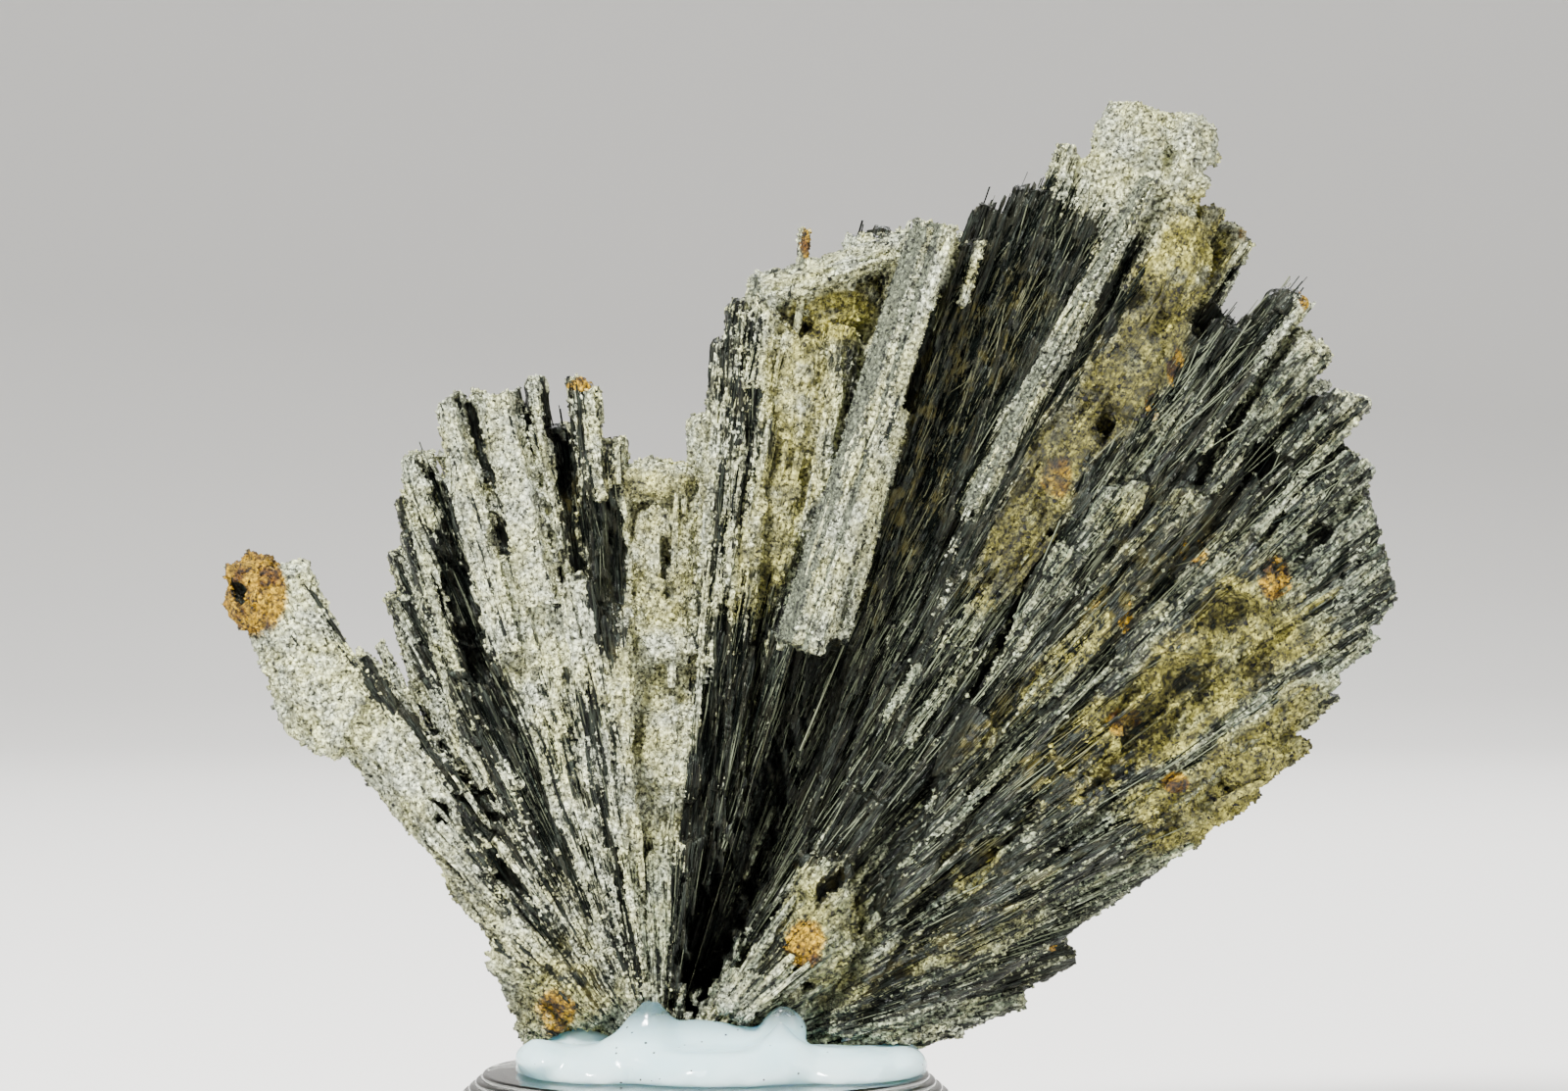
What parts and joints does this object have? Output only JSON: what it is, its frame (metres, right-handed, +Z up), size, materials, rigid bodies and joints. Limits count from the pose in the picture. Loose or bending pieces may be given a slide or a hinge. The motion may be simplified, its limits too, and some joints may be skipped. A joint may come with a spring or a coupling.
{
  "type": "stibnite with stibiconite specimen",
  "caption": "Fan-shaped spray of dark metallic stibnite needles under a pale stibiconite crust, set in white adhesive on a round clear base.",
  "frame": {"origin": "middle of the round base's underside", "axes": "+X to the right seen from the front, +Y to the back, +Z up; the fan of blades lies across X"},
  "size_m": [0.0741, 0.032, 0.0701],
  "materials": {
    "crusted_crystal": "granular pale crust over dark metallic needles, with ochre filling",
    "white_adhesive": "glossy, slightly translucent white adhesive",
    "clear_plastic": "clear moulded plastic"
  },
  "bodies": {
    "root": {"stibnite_spray": "crusted_crystal", "adhesive_mound": "white_adhesive", "clear_base": "clear_plastic"}
  },
  "joints": []
}
